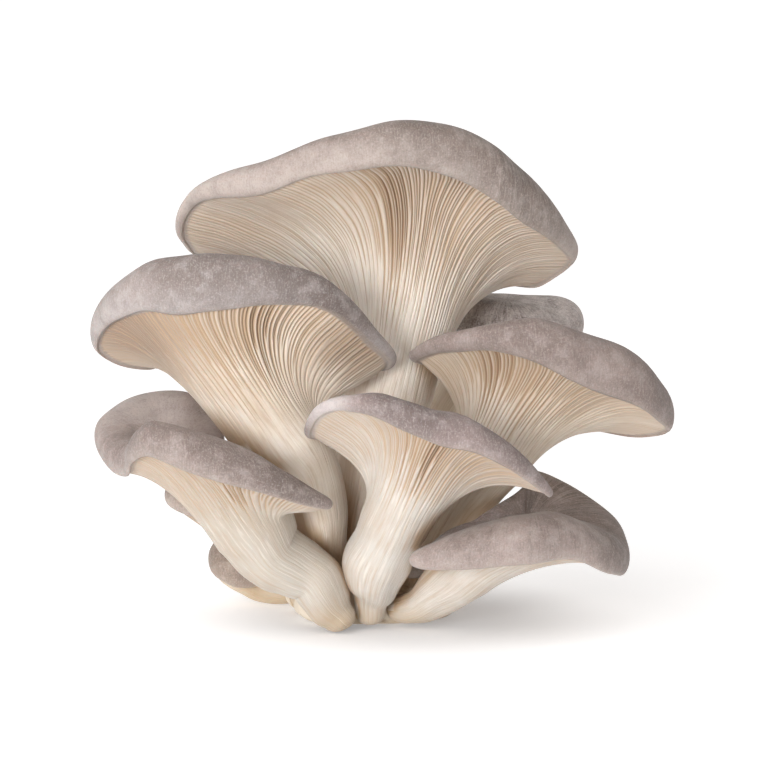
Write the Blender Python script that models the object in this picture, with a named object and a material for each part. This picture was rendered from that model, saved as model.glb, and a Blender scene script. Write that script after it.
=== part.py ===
"""Oyster mushroom cluster: ten mushrooms grown from one foot, standing on its flat cut.

Each mushroom is one solid. It is a loft: rings round a bending stem, then rings that open like a
trumpet to the rim of the cap, then rings that close over the top of the cap. The gills are grooves
sunk between every two columns of the trumpet. Lengths in the tables are in millimetres, with +X to
the right, +Y to the back and +Z up, and the origin on the floor in the flat cut of the foot.
"""

import math

import bmesh
import bpy
import numpy as np

MM = 0.001
CLEARANCE = 0.35  # gap between a stem and the foot
FINE = 720  # samples round a rim before it is divided evenly

# rings in each part of a mushroom
TIP_ROWS = 3
STEM_ROWS = 6
GILL_ROWS = 7
TOP_ROWS = 6
TIP_DEPTH = 0.8  # how far the root's rounded end reaches, in radii

SOCKET_SIDES = 12
SOCKET_TOP = 24  # sockets follow the stems up to here, past the top of the foot
ROUGHNESS = 0.6
SHARP_ANGLE = 50  # degrees; edges between gill walls stay crisp

# on_floor: the stem reaches the floor beside the foot.
# stem: centre line points (x, y, z, radius) from the root to the throat, where the gills begin.
# rim: points (x, y, z, lip) round the cap, anticlockwise seen from above, starting at the right.
#      lip is how high the skin rolls up above the rim there.
# crown: the middle of the cap's top, often a shallow dip.
# neck and flare: how long the gills follow the stem, and how flat they meet the rim.
# bulge: how far the skin swells out beyond the rim on its way up.
MUSHROOMS = {
    "mushroom_top": {
        "color": (0.42, 0.34, 0.29),
        "on_floor": False,
        "gills": 48,
        "groove": 1.7,
        "neck": 0.75,
        "flare": 0.5,
        "bulge": 9,
        "stem": [
            (-3, 10.5, 10.5, 6.4),
            (-4, 12, 23, 8.4),
            (-0.5, 13.3, 41, 10.6),
            (4.2, 14.5, 63, 13.3),
        ],
        "rim": [
            (55.5, 13, 100, 10.5),
            (52.5, 23, 94, 13),
            (45, 33, 90, 16),
            (25, 48, 93, 19.5),
            (0, 54, 98, 19.5),
            (-25, 46, 98, 17.5),
            (-44, 30, 97, 13.5),
            (-52, 8, 105.5, 7),
            (-48.3, -6, 117, 7.2),
            (-31, -18, 120.5, 12),
            (-14, -22, 126, 14.5),
            (8, -22, 128.5, 16.6),
            (27, -16, 122.5, 19),
            (44, -4, 110, 19.5),
        ],
        "crown": (4, 18, 114),
    },
    "mushroom_upper_left": {
        "color": (0.47, 0.39, 0.34),
        "on_floor": False,
        "gills": 40,
        "groove": 1.6,
        "neck": 0.75,
        "flare": 0.5,
        "bulge": 8,
        "stem": [
            (-13, 0.5, 9.5, 5.4),
            (-13.5, -1, 17, 6.8),
            (-14.5, -3, 24, 7.6),
            (-15.5, -4.5, 34, 8.2),
            (-17.5, -6, 42, 9.4),
            (-23.5, -8, 51, 12.6),
        ],
        "rim": [
            (4.3, -12, 74.6, 4.6),
            (3.6, -6, 71, 4.4),
            (-2.5, -2, 70.6, 6),
            (-12, 2, 75, 9.2),
            (-28, 12, 80, 11.6),
            (-50, 16, 78, 11.6),
            (-62, 8, 69, 12.6),
            (-75.5, -6, 76, 11.6),
            (-71.5, -18, 84.7, 12.6),
            (-62, -28, 89.8, 16),
            (-50, -34, 89.8, 19.3),
            (-36.5, -35, 91.5, 17.6),
            (-23, -32, 92.4, 13.4),
            (-10, -26, 89, 10.6),
            (-0.8, -18.5, 80.4, 8.2),
        ],
        "crown": (-40, -8, 87),
    },
    "mushroom_middle_right": {
        "color": (0.43, 0.33, 0.27),
        "on_floor": False,
        "gills": 40,
        "groove": 1.6,
        "neck": 0.5,
        "flare": 0.5,
        "bulge": 8,
        "stem": [(14, 9, 9.5, 5.4), (18, 6, 20, 6.6), (25, 2, 33, 8), (32, 0, 45, 11)],
        "rim": [
            (82, 2, 52.5, 13),
            (75.5, 16, 49, 13.2),
            (60.5, 28, 50, 10.2),
            (40, 28, 58, 11.2),
            (26.5, 13, 68, 6),
            (12, -6, 73.5, 4.2),
            (19, -16, 77, 7.2),
            (32.5, -24, 79, 9.2),
            (46.5, -26, 75, 15.2),
            (60.5, -22, 67.5, 17.6),
            (76.5, -12, 60, 17.6),
        ],
        "crown": (44, 2, 69),
    },
    "mushroom_front": {
        "color": (0.52, 0.44, 0.39),
        "on_floor": True,
        "gills": 40,
        "groove": 1.5,
        "neck": 0.7,
        "flare": 0.5,
        "bulge": 5,
        "stem": [
            (-0.9, -12.6, 4.2, 4.2),
            (-0.6, -13.2, 8, 5),
            (0.2, -14, 11, 6.5),
            (0.6, -15.4, 15, 8),
            (1.6, -17.2, 20.2, 9.2),
            (3.9, -19.4, 26, 8.8),
            (6.4, -22, 31.8, 9.6),
        ],
        "rim": [
            (47.5, -36, 41, 3.9),
            (38, -20, 45, 6.9),
            (22, -12, 50, 7.9),
            (4, -14, 54, 7.9),
            (-10, -20, 55, 6.9),
            (-16.6, -30, 56, 3.9),
            (-14, -38, 62.7, 4.7),
            (-7.5, -44, 66, 5.6),
            (3.5, -48, 63, 8.9),
            (16, -50, 58, 10.9),
            (30, -49, 54, 11.9),
            (41, -44, 47, 9.9),
        ],
        "crown": (8, -28, 57),
    },
    "mushroom_lower_left": {
        "color": (0.5, 0.41, 0.35),
        "on_floor": True,
        "gills": 36,
        "groove": 1.4,
        "neck": 0.6,
        "flare": 0.5,
        "bulge": 6,
        "stem": [
            (-9.2, -17.4, 4.2, 4.8),
            (-11.2, -17.4, 6.8, 6.1),
            (-13.4, -17.3, 11, 7.1),
            (-16.2, -17.3, 15.2, 7.7),
            (-21.8, -17.8, 18.8, 8.7),
            (-27.6, -18.8, 22.4, 9.8),
            (-32, -20, 29.5, 11.5),
        ],
        "rim": [
            (-12, -34, 37.5, 4.4),
            (-25, -23.5, 42.8, 5),
            (-40.5, -12, 46.6, 3.6),
            (-43.8, -1, 51.4, 4.8),
            (-51, 8.5, 55.5, 9.6),
            (-64.3, 13, 54.5, 10.4),
            (-74.8, 2, 50.2, 8.6),
            (-73.3, -10, 46, 8.8),
            (-66.5, -24, 44.3, 10),
            (-64, -34, 49.6, 10.2),
            (-59, -40, 52.4, 11),
            (-49, -44, 48.8, 12.9),
            (-36.5, -44, 45.5, 13.2),
            (-24, -41, 41.2, 11.4),
        ],
        "crown": (-56, -12, 51),
    },
    "mushroom_lower_right": {
        "color": (0.45, 0.38, 0.33),
        "on_floor": True,
        "gills": 32,
        "groove": 1.2,
        "neck": 0.4,
        "flare": 0.5,
        "bulge": 6.5,
        "stem": [
            (6.8, -8.1, 5, 3.7),
            (10.6, -10.2, 5.2, 4.7),
            (14.2, -12, 6.7, 5.4),
            (19.3, -14, 11, 6.9),
            (26, -16, 17, 8.3),
        ],
        "rim": [
            (69.2, -8, 19, 8),
            (64.3, 6, 26, 7),
            (53, 15, 31, 7.5),
            (46, 12, 33, 9),
            (43.4, 3.5, 31.4, 8),
            (38.6, -6, 29.6, 7),
            (33, -12, 27.4, 6),
            (22.5, -15, 24, 4.8),
            (11.8, -32.5, 21.6, 5),
            (16, -37, 21.1, 8.6),
            (30, -40, 22.2, 11.6),
            (44, -40, 23.8, 12.3),
            (55.5, -34, 23.2, 12),
            (65, -24, 17.8, 12.2),
            (69, -16, 16, 10.4),
        ],
        "crown": (42, -10, 30),
    },
    "mushroom_back_right": {
        "color": (0.25, 0.2, 0.17),
        "on_floor": False,
        "gills": 20,
        "groove": 1.2,
        "neck": 0.6,
        "flare": 0.5,
        "bulge": 5,
        "stem": [(12, 22, 9, 5), (15, 27, 28, 6), (19.5, 34, 48, 6.5), (27, 41, 61, 8)],
        "rim": [
            (60, 50, 74, 10),
            (55, 61, 74, 10),
            (39, 64, 75, 10),
            (26, 59, 76, 10),
            (19, 48, 77, 9),
            (25, 38, 76, 9),
            (39, 35, 73, 9),
            (55, 39, 72, 9),
        ],
        "crown": (39, 48, 85),
    },
    "mushroom_back_left": {
        "color": (0.46, 0.38, 0.32),
        "on_floor": False,
        "gills": 20,
        "groove": 1.0,
        "neck": 0.6,
        "flare": 0.5,
        "bulge": 4,
        "stem": [(-15, 13, 9, 4.8), (-23, 12.5, 12.5, 5), (-35, 11, 21.5, 5.5)],
        "rim": [
            (-36, 12, 33, 5),
            (-42, 21, 34, 6),
            (-50, 19, 32, 6),
            (-56, 11, 31.5, 6),
            (-56, 3, 31, 6),
            (-49, -2, 29.5, 6),
            (-41, 2, 31, 6),
        ],
        "crown": (-46, 9, 41),
    },
    "mushroom_small_left": {
        "color": (0.5, 0.42, 0.35),
        "on_floor": True,
        "gills": 16,
        "groove": 0.7,
        "neck": 0.5,
        "flare": 0.5,
        "bulge": 4,
        "stem": [
            (-14.5, 22.5, 8.5, 4),
            (-23, 21.2, 4.8, 4.3),
            (-31, 21.4, 4.7, 4.5),
            (-36.5, 22, 7, 4.4),
        ],
        "rim": [
            (-29, 22, 9, 5),
            (-31, 31, 13, 5),
            (-38, 34, 13, 6),
            (-44.3, 27, 11, 7),
            (-44.6, 18, 8, 7),
            (-39, 12.8, 6.4, 7),
            (-32, 14.5, 6.6, 6),
        ],
        "crown": (-37.5, 22, 18.6),
    },
    "mushroom_button": {
        "color": (0.24, 0.21, 0.21),
        "on_floor": False,
        "gills": 12,
        "groove": 0.4,
        "neck": 0.4,
        "flare": 0.4,
        "bulge": 1.5,
        "stem": [(9, -1, 8.5, 2.8), (10, -2.8, 10.5, 3.1), (11.2, -4.8, 13, 3.2)],
        "rim": [
            (17, -5.8, 14.6, 3.6),
            (11.5, -0.6, 15, 3.6),
            (6, -5.8, 14.6, 3.6),
            (11.5, -10.8, 13.6, 3.6),
        ],
        "crown": (11.5, -5.8, 18.8),
    },
}


# outline: the foot's plan at its widest, anticlockwise.
# levels: (height, scale of the outline) up its side. top: its highest point.
FOOT = {
    "color": (0.62, 0.52, 0.40),
    "outline": [
        (24, 4),
        (23.5, 14),
        (20, 24),
        (12, 30.5),
        (0, 31.5),
        (-12, 32),
        (-21, 28),
        (-24.5, 18),
        (-22.4, 6),
        (-20, -3.4),
        (-15.4, -9),
        (-8, -9.5),
        (0, -9),
        (10, -8),
        (19, -4),
    ],
    "levels": [(0, 0.9), (1.5, 0.96), (6, 1), (10, 0.95), (12.8, 0.82), (14.4, 0.5)],
    "top": (-1, 10, 15),
    "columns": 40,
}


def unit(vectors):
    """Each vector at length 1."""
    return vectors / np.maximum(np.linalg.norm(vectors, axis=-1, keepdims=True), 1e-9)


def spline(points, places, closed=False):
    """A smooth curve through points, read at places from 0 to 1 along its length."""
    points = np.asarray(points, float)
    if closed:
        points = np.vstack([points[-2:], points, points[:3]])
    else:
        points = np.vstack([2 * points[0] - points[1], points, 2 * points[-1] - points[-2]])
    knots = np.concatenate([[0], np.cumsum(np.linalg.norm(np.diff(points[:, :3], axis=0), axis=1))])
    first, last = (2, len(points) - 3) if closed else (1, len(points) - 2)
    at = knots[first] + np.asarray(places, float) * (knots[last] - knots[first])
    slope = (points[2:] - points[:-2]) / (knots[2:] - knots[:-2])[:, None]
    i = np.clip(np.searchsorted(knots, at, side="right") - 1, first, last - 1)
    span = (knots[i + 1] - knots[i])[:, None]
    t = ((at - knots[i]) / span[:, 0])[:, None]
    return (
        (2 * t**3 - 3 * t**2 + 1) * points[i]
        + (t**3 - 2 * t**2 + t) * span * slope[i - 1]
        + (3 * t**2 - 2 * t**3) * points[i + 1]
        + (t**3 - t**2) * span * slope[i]
    )


def even_rim(rim, columns):
    """The rim as rows (x, y, z, lip) at even steps of its length."""
    fine = spline(rim, np.linspace(0, 1, FINE + 1), closed=True)
    length = np.concatenate([[0], np.cumsum(np.linalg.norm(np.diff(fine[:, :3], axis=0), axis=1))])
    steps = np.arange(columns) / columns * length[-1]
    return np.stack([np.interp(steps, length, fine[:, k]) for k in range(4)], axis=1)


def stem_frames(shape):
    """Centres, radii, directions and two side vectors at the stem's rings, without twist."""
    places = np.linspace(0, 1, STEM_ROWS)
    line = spline(shape["stem"], places)
    ahead = spline(shape["stem"], np.minimum(places + 0.01, 1))[:, :3]
    behind = spline(shape["stem"], np.maximum(places - 0.01, 0))[:, :3]
    along = unit(ahead - behind)
    side = np.zeros_like(along)
    side[-1] = unit(np.cross(np.cross(along[-1], (1, 0, 0)), along[-1]))
    for i in range(len(along) - 2, -1, -1):
        side[i] = unit(side[i + 1] - along[i] * (side[i + 1] @ along[i]))
    return line[:, :3], line[:, 3], along, side, np.cross(along, side)


def bezier(points, t):
    """A Bezier curve through any number of control points, each an array of columns."""
    n = len(points) - 1
    return sum(math.comb(n, k) * (1 - t) ** (n - k) * t**k * p for k, p in enumerate(points))


def angles_round(throat, side, across, rim):
    """The angle on the stem where each column starts: part its bearing to the rim, part even."""
    to_rim = rim - throat
    bearing = np.unwrap(np.arctan2(to_rim @ across, to_rim @ side))
    even = np.arange(len(rim)) / len(rim) * 2 * math.pi
    even = even + np.mean(bearing - even)
    return 0.6 * bearing + 0.4 * even


def rings_of(shape):
    """The mushroom's smooth rings from the root up the stem, out to the rim and over the top.

    Every ring has one point for each column. It returns them with the number of the throat's ring
    and of the rim's.
    """
    columns = 2 * shape["gills"]
    rim = even_rim(shape["rim"], columns)
    rim, lip = rim[:, :3], rim[:, 3:]
    centres, radii, along, side, across = stem_frames(shape)
    angle = angles_round(centres[-1], side[-1], across[-1], rim)
    cos, sin = np.cos(angle)[:, None], np.sin(angle)[:, None]

    def ring(i, radius, shift=0.0):
        return centres[i] + along[i] * shift + radius * (cos * side[i] + sin * across[i])

    rings = []
    for row in range(1, TIP_ROWS + 1):
        a = row / (TIP_ROWS + 1) * math.pi / 2
        rings.append(ring(0, radii[0] * math.sin(a), -radii[0] * math.cos(a) * TIP_DEPTH))
    rings += [ring(i, radii[i]) for i in range(STEM_ROWS)]
    throat_ring = len(rings) - 1

    axis = along[-1]
    start = rings[-1]
    reach = rim - start
    rise = (reach @ axis)[:, None]
    sideways = reach - rise * axis
    rise = np.maximum(rise, 0.3 * np.linalg.norm(sideways, axis=1, keepdims=True))
    handles = [start, start + axis * rise * shape["neck"], rim - sideways * shape["flare"], rim]
    rings += [bezier(handles, row / GILL_ROWS) for row in range(1, GILL_ROWS + 1)]
    rim_ring = len(rings) - 1

    crown = np.array(shape["crown"], float)
    up = np.array((0, 0, 1.0))
    inward = crown - rim
    inward = inward - (inward @ up)[:, None] * up
    out = -unit(inward)
    handles = [
        rim,
        rim + up * lip * 1.15 + out * shape["bulge"],
        rim + up * lip * 1.3 + inward * 0.4,
        crown - inward * 0.3,
        crown + 0 * inward,
    ]
    rings += [bezier(handles, row / (TOP_ROWS + 1)) for row in range(1, TOP_ROWS + 1)]
    return rings, throat_ring, rim_ring


def with_grooves(rings, throat, rim_ring, depth):
    """Sinks every other column below the surface between the throat and the rim."""
    grid = np.array(rings)
    round_step = np.roll(grid, -1, axis=1) - np.roll(grid, 1, axis=1)
    up_step = np.gradient(grid, axis=0)
    outwards = unit(np.cross(round_step, up_step))
    for row in range(throat + 1, rim_ring):
        t = (row - throat) / (rim_ring - throat)
        sink = depth * math.sin(math.pi * t**0.8) ** 0.7
        grid[row, 1::2] -= outwards[row, 1::2] * sink
    return grid


def thinned(grid, throat, rim_ring):
    """Each row with only the columns that it needs: all on the gills, fewer on stem and top."""
    rows = []
    for row, ring in enumerate(grid):
        if throat < row < rim_ring:
            step = 1
        elif row in (throat, rim_ring, rim_ring + 1, rim_ring + 2):
            step = 2
        else:
            step = 4
        rows.append(ring[::step])
    return rows


def stitch(bm, low, high):
    """Faces between two rings whose counts are equal or one a whole multiple of the other."""
    if len(low) == len(high):
        n = len(low)
        for i in range(n):
            j = (i + 1) % n
            bm.faces.new((low[i], low[j], high[j], high[i]))
        return
    many, few, flip = (low, high, False) if len(low) > len(high) else (high, low, True)
    ratio = len(many) // len(few)
    for i, corner in enumerate(few):
        after = few[(i + 1) % len(few)]
        run = [many[(i * ratio + k) % len(many)] for k in range(ratio + 1)]
        half = ratio // 2
        faces = [(run[k], run[k + 1], corner) for k in range(half)]
        faces += [(run[k], run[k + 1], after) for k in range(half, ratio)]
        faces.append((run[half], after, corner))
        for face in faces:
            bm.faces.new(face[::-1] if flip else face)


def loft(name, rows, bottom, top):
    """A closed mesh object from rings, with a point at each end."""
    bm = bmesh.new()
    rings = [[bm.verts.new(p * MM) for p in row] for row in rows]
    for low, high in zip(rings, rings[1:]):
        stitch(bm, low, high)
    for ring, point, flip in ((rings[0], bottom, True), (rings[-1], top, False)):
        pole = bm.verts.new(np.asarray(point, float) * MM)
        for i, vert in enumerate(ring):
            face = (vert, ring[(i + 1) % len(ring)], pole)
            bm.faces.new(face[::-1] if flip else face)
    bmesh.ops.triangulate(bm, faces=bm.faces[:])
    mesh = bpy.data.meshes.new(name)
    bm.to_mesh(mesh)
    bm.free()
    return bpy.data.objects.new(name, mesh)


def mushroom(name, shape):
    """One whole mushroom: stem, gills and cap in a single skin."""
    rings, throat, rim_ring = rings_of(shape)
    grid = with_grooves(rings, throat, rim_ring, shape["groove"])
    grid[:, :, 2] = np.maximum(grid[:, :, 2], 0)
    centres, radii, along, _, _ = stem_frames(shape)
    tip = centres[0] - along[0] * radii[0] * TIP_DEPTH
    tip[2] = max(tip[2], 0)
    return loft(name, thinned(grid, throat, rim_ring), tip, shape["crown"])


def socket(shape):
    """A convex cutter round the stem, and round all below it where the stem reaches the floor."""
    centres, radii, along, side, across = stem_frames(shape)
    angle = np.arange(SOCKET_SIDES) / SOCKET_SIDES * 2 * math.pi
    outside = 1 / math.cos(math.pi / SOCKET_SIDES)
    points = []

    def ring(i, radius, shift=0.0):
        spokes = np.cos(angle)[:, None] * side[i] + np.sin(angle)[:, None] * across[i]
        points.extend(centres[i] + along[i] * shift + spokes * radius * outside)

    depth = radii[0] * TIP_DEPTH + 1.5 * CLEARANCE
    for row in range(TIP_ROWS + 1):
        a = (row + 0.5) / (TIP_ROWS + 1) * math.pi / 2
        ring(0, (radii[0] + CLEARANCE) * math.sin(a) * outside, -depth * math.cos(a) * outside)
    for i in range(STEM_ROWS):
        if centres[i][2] < SOCKET_TOP:
            ring(i, radii[i] + CLEARANCE)
    if shape["on_floor"]:
        points += [p - np.array((0, 0, SOCKET_TOP)) for p in points]
    bm = bmesh.new()
    for p in points:
        bm.verts.new(p * MM)
    hull = bmesh.ops.convex_hull(bm, input=bm.verts[:])
    spare = set(hull["geom_interior"] + hull["geom_unused"])
    bmesh.ops.delete(bm, geom=[v for v in bm.verts if v in spare], context="VERTS")
    mesh = bpy.data.meshes.new("socket")
    bm.to_mesh(mesh)
    bm.free()
    return bpy.data.objects.new("socket", mesh)


def keep_largest(obj):
    """Drops the crumbs that the sockets cut free."""
    bm = bmesh.new()
    bm.from_mesh(obj.data)
    left, bodies = set(bm.verts), []
    while left:
        body, edge = set(), [next(iter(left))]
        while edge:
            vert = edge.pop()
            if vert not in body:
                body.add(vert)
                edge += [e.other_vert(vert) for e in vert.link_edges]
        left -= body
        bodies.append(body)
    bodies.sort(key=len)
    bmesh.ops.delete(bm, geom=[v for body in bodies[:-1] for v in body], context="VERTS")
    bm.to_mesh(obj.data)
    bm.free()


def foot(collection):
    """The lump that all the stems grow from, with a socket for each."""
    places = np.arange(FOOT["columns"]) / FOOT["columns"]
    plan = spline([(x, y, 0) for x, y in FOOT["outline"]], places, closed=True)
    middle = plan.mean(axis=0)
    rings = [middle + (plan - middle) * scale + (0, 0, z) for z, scale in FOOT["levels"]]
    obj = loft("foot", rings, middle, FOOT["top"])
    collection.objects.link(obj)
    bpy.context.view_layer.objects.active = obj
    for shape in MUSHROOMS.values():
        cutter = socket(shape)
        collection.objects.link(cutter)
        cut = obj.modifiers.new("socket", "BOOLEAN")
        cut.operation = "DIFFERENCE"
        cut.solver = "EXACT"
        cut.object = cutter
        bpy.ops.object.modifier_apply(modifier=cut.name)
        bpy.data.objects.remove(cutter)
    keep_largest(obj)
    return obj


def finish(obj, color):
    """Gives the object its material and smooth shading with crisp gills."""
    material = bpy.data.materials.new(obj.name)
    material.use_nodes = True
    shader = material.node_tree.nodes["Principled BSDF"]
    shader.inputs["Base Color"].default_value = (*color, 1)
    shader.inputs["Roughness"].default_value = ROUGHNESS
    shader.inputs["Metallic"].default_value = 0
    obj.data.materials.clear()
    obj.data.materials.append(material)
    obj.data.shade_smooth()
    obj.data.set_sharp_from_angle(angle=math.radians(SHARP_ANGLE))


def main():
    for obj in list(bpy.data.objects):
        bpy.data.objects.remove(obj)
    collection = bpy.data.collections.new("oyster_mushroom_cluster")
    bpy.context.scene.collection.children.link(collection)
    for name, shape in MUSHROOMS.items():
        obj = mushroom(name, shape)
        collection.objects.link(obj)
        finish(obj, shape["color"])
    finish(foot(collection), FOOT["color"])


main()
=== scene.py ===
import math

import bpy
import numpy as np
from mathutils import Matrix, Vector
from mathutils.bvhtree import BVHTree


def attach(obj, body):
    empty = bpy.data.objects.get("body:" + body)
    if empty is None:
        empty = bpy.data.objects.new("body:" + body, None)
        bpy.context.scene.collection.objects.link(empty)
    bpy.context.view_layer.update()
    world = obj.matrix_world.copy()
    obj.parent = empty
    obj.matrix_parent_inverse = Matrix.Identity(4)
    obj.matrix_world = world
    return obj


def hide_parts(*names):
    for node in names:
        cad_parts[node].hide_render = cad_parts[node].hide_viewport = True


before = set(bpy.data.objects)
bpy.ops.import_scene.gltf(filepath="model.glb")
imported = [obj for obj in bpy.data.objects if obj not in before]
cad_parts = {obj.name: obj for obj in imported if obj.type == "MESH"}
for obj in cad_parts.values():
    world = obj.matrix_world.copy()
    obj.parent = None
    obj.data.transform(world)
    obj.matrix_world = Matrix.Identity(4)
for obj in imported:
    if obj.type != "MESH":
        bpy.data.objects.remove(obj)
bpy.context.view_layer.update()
print("frame loaded")

mm = 0.001

view = {"target": (0.0033, 0, 0.0665), "distance": 0.9, "elevation": 8, "lens": 152}


def addCamera():
    tilt = math.radians(view["elevation"])
    away = Vector((0, -math.cos(tilt), math.sin(tilt))) * view["distance"]
    data = bpy.data.cameras.new("camera")
    data.lens = view["lens"]
    data.clip_start = 0.01
    camera = bpy.data.objects.new("camera", data)
    camera.location = Vector(view["target"]) + away
    camera.rotation_euler = (math.pi / 2 - tilt, 0, 0)
    bpy.context.scene.collection.objects.link(camera)
    bpy.context.scene.camera = camera


studio = {
    "aim": (0, 0, 0.06),  # where the sun and the front lamp point
    "sunFrom": (-0.46, -0.42, 0.8),
    "sunStrength": 1.18,
    "sunSpread": 65,  # degrees; wide, so that shadows are soft
    "sunColor": (0.985, 0.99, 1),
    "frontPlace": (-0.6, -1.3, 0.25),
    "frontSize": 0.6,
    "frontPower": 14.0,
    "frontColor": (1, 0.985, 0.97),
    "spotPlace": (-0.12, -1, 0.4),
    "spotAim": (-0.019, 0, 0.097),  # the gills of the top mushroom
    "spotCone": 6.0,  # degrees, fading over its whole width
    "spotPower": 11.0,
    "spotSoft": 0.06,
    "around": 0.42,  # brightness of the room on the object
    "aroundColor": (1, 0.94, 0.875),
}


def addLamps():
    sun = bpy.data.lights.new("sun", "SUN")
    sun.energy = studio["sunStrength"]
    sun.angle = math.radians(studio["sunSpread"])
    sun.color = studio["sunColor"]
    front = bpy.data.lights.new("front", "AREA")
    front.shape = "DISK"
    front.size = studio["frontSize"]
    front.energy = studio["frontPower"]
    front.color = studio["frontColor"]
    spot = bpy.data.lights.new("spot", "SPOT")
    spot.energy = studio["spotPower"]
    spot.spot_size = math.radians(studio["spotCone"])
    spot.spot_blend = 1.0
    spot.shadow_soft_size = studio["spotSoft"]
    for lamp, place, aim in (
        (sun, studio["sunFrom"], studio["aim"]),
        (front, studio["frontPlace"], studio["aim"]),
        (spot, studio["spotPlace"], studio["spotAim"]),
    ):
        made = bpy.data.objects.new(lamp.name, lamp)
        made.location = place
        made.rotation_euler = (Vector(aim) - made.location).to_track_quat("-Z", "Y").to_euler()
        bpy.context.scene.collection.objects.link(made)

    # a white room: plain white where it is seen, and softer as a light
    world = bpy.data.worlds.new("studio")
    world.use_nodes = True
    nodes, links = world.node_tree.nodes, world.node_tree.links
    seen, room = nodes["Background"], nodes.new("ShaderNodeBackground")
    seen.inputs["Color"].default_value = (1, 1, 1, 1)
    room.inputs["Color"].default_value = (*studio["aroundColor"], 1)
    seen.inputs["Strength"].default_value = 1.0
    room.inputs["Strength"].default_value = studio["around"]
    path, mix = nodes.new("ShaderNodeLightPath"), nodes.new("ShaderNodeMixShader")
    links.new(path.outputs["Is Camera Ray"], mix.inputs[0])
    links.new(room.outputs[0], mix.inputs[1])
    links.new(seen.outputs[0], mix.inputs[2])
    links.new(mix.outputs[0], nodes["World Output"].inputs["Surface"])
    bpy.context.scene.world = world
    bpy.context.scene.view_settings.view_transform = "Standard"


addCamera()
addLamps()
print("camera and lights placed")


class Wire:
    # a socket that takes part in plain arithmetic
    def __init__(self, recipe, socket):
        self.recipe, self.socket = recipe, socket

    def math(self, operation, a, b):
        return self.recipe.node("ShaderNodeMath", {"operation": operation}, {0: a, 1: b})

    def __add__(self, other):
        return self.math("ADD", self, other)

    def __radd__(self, other):
        return self.math("ADD", other, self)

    def __sub__(self, other):
        return self.math("SUBTRACT", self, other)

    def __rsub__(self, other):
        return self.math("SUBTRACT", other, self)

    def __mul__(self, other):
        return self.math("MULTIPLY", self, other)

    def __rmul__(self, other):
        return self.math("MULTIPLY", other, self)


class Recipe:
    # one node material and the means to fill it
    def __init__(self, name):
        self.material = bpy.data.materials.new(name)
        self.material.use_nodes = True
        self.tree = self.material.node_tree
        self.shader = self.tree.nodes["Principled BSDF"]

    def fill(self, socket, value):
        if isinstance(value, Wire):
            self.tree.links.new(value.socket, socket)
        else:
            socket.default_value = value

    def node(self, kind, settings=None, sockets=None, out=0):
        made = self.tree.nodes.new(kind)
        for key, value in (settings or {}).items():
            setattr(made, key, value)
        for key, value in (sockets or {}).items():
            self.fill(made.inputs[key], value)
        return Wire(self, made.outputs[out])

    def mix(self, share, a, b, blend="MIX"):
        a = (*a, 1) if isinstance(a, tuple) else a
        b = (*b, 1) if isinstance(b, tuple) else b
        settings = {"data_type": "RGBA", "blend_type": blend, "clamp_factor": True}
        return self.node("ShaderNodeMix", settings, {0: share, 6: a, 7: b}, out=2)

    def within(self, value, none, full, share=1.0):
        # a soft step from 0 where the value is none to the share where it is full, up or down
        low, high, start, end = (none, full, 0.0, share) if none < full else (full, none, share, 0.0)
        settings = {"interpolation_type": "SMOOTHSTEP"}
        return self.node("ShaderNodeMapRange", settings, {0: value, 1: low, 2: high, 3: start, 4: end})

    def noise(self, vector, scale, detail=3.0, rough=0.5):
        sockets = {"Vector": vector, "Scale": scale, "Detail": detail, "Roughness": rough}
        return self.node("ShaderNodeTexNoise", {"noise_dimensions": "3D"}, sockets)

    def distance(self, place, point):
        return self.node("ShaderNodeVectorMath", {"operation": "DISTANCE"}, {0: place, 1: point}, out=1)

    def attribute(self, name):
        return self.node("ShaderNodeAttribute", {"attribute_name": name}, out=2)

    def feed(self, **sockets):
        for key, value in sockets.items():
            self.fill(self.shader.inputs[key.replace("_", " ")], value)


# the tones of the flesh, which all the mushrooms share; all tones are linear colours
flesh = {
    "cream": (0.73, 0.64, 0.55),
    "white": (0.82, 0.76, 0.69),
    # painted light on the throats
    "bright": (0.93, 0.87, 0.79),
    # painted shade for the gills under the cap
    "under": (0.46, 0.345, 0.255),
    # painted shade on the gills, in spots
    "dim": (0.3, 0.22, 0.165),
    "tan": (0.47, 0.335, 0.22),
    # painted shade deep in the open gaps between the gills
    "deepTan": (0.22, 0.115, 0.05),
    # painted shade between neighbours
    "creviceShade": (0.42, 0.27, 0.145),
    "rootTan": (0.50, 0.35, 0.18),
}

grains = {
    # cloudy patterns: scale, detail, roughness
    "mottle": (45, 4, 0.55),
    "patches": (240, 4, 0.6),
    "grain": (2000, 3, 0.7),
    "cloud": (70, 4, 0.55),
    # streaks from the root to the crown: how fine, as a multiple of the mushroom's fibres; how fast they
    # change along it; detail, roughness
    "fibrils": (3.2, 0.5, 4, 0.66),
    "longStreaks": (0.7, 0.09, 3, 0.5),
    "brush": (1.1, 0.05, 4, 0.6),
    "flush": (1.0, 0.05, 4, 0.5),
    "threads": (1.7, 0.11, 3, 0.5),
    "strands": (0.5, 0.07, 4, 0.62),
}


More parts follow.
